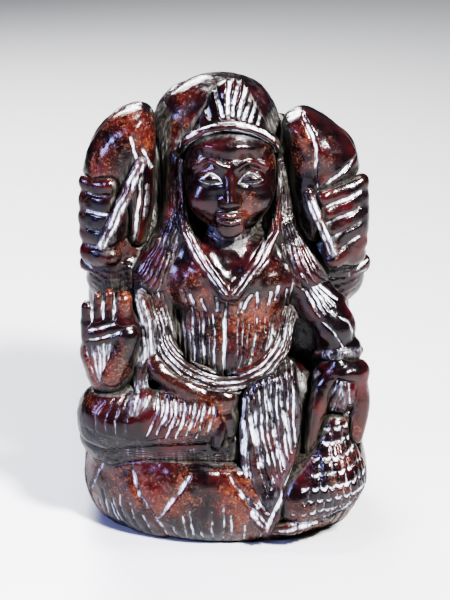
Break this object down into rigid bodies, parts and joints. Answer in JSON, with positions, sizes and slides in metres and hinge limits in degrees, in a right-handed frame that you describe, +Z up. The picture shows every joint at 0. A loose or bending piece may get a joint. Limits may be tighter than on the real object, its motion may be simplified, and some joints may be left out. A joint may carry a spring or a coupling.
{
  "type": "carved stone deity figurine",
  "caption": "Seated four-armed deity figurine carved from dark red stone on a lotus base, with lotus buds in the raised hands, a blessing palm and a hand pouring coins.",
  "frame": {"origin": "centre of the flat underside of the lotus base", "axes": "+Z up, the figure faces -Y, its own left hand is on +X"},
  "size_m": [0.056, 0.037, 0.088],
  "materials": {
    "polished_stone": "polished",
    "cut_stone": "satin"
  },
  "bodies": {
    "root": {"arm_scarf": "cut_stone", "armlet": "cut_stone", "back_slab": "polished_stone", "bangles_left": "cut_stone", "bangles_right": "cut_stone", "blessing_fingers": "polished_stone", "blessing_palm": "polished_stone", "blessing_thumb": "polished_stone", "coin_heap": "polished_stone", "crown": "polished_stone", "crown_band": "cut_stone", "folded_shin": "polished_stone", "folded_thigh": "polished_stone", "foot": "polished_stone", "front_arm_left": "polished_stone", "front_arm_right": "polished_stone", "giving_fingers": "polished_stone", "giving_palm": "polished_stone", "giving_thumb": "polished_stone", "hanging_leg": "polished_stone", "head": "polished_stone", "hood": "polished_stone", "lotus_base": "polished_stone", "lotus_bud_left": "polished_stone", "lotus_bud_right": "polished_stone", "lotus_stem_left": "cut_stone", "lotus_stem_right": "cut_stone", "neck": "polished_stone", "rear_arm_left": "polished_stone", "rear_arm_right": "polished_stone", "rear_fist_left": "polished_stone", "rear_fist_right": "polished_stone", "skirt_pleats": "cut_stone", "torso": "polished_stone", "veil_left": "cut_stone", "veil_right": "cut_stone", "waist_sash": "cut_stone"}
  },
  "joints": []
}
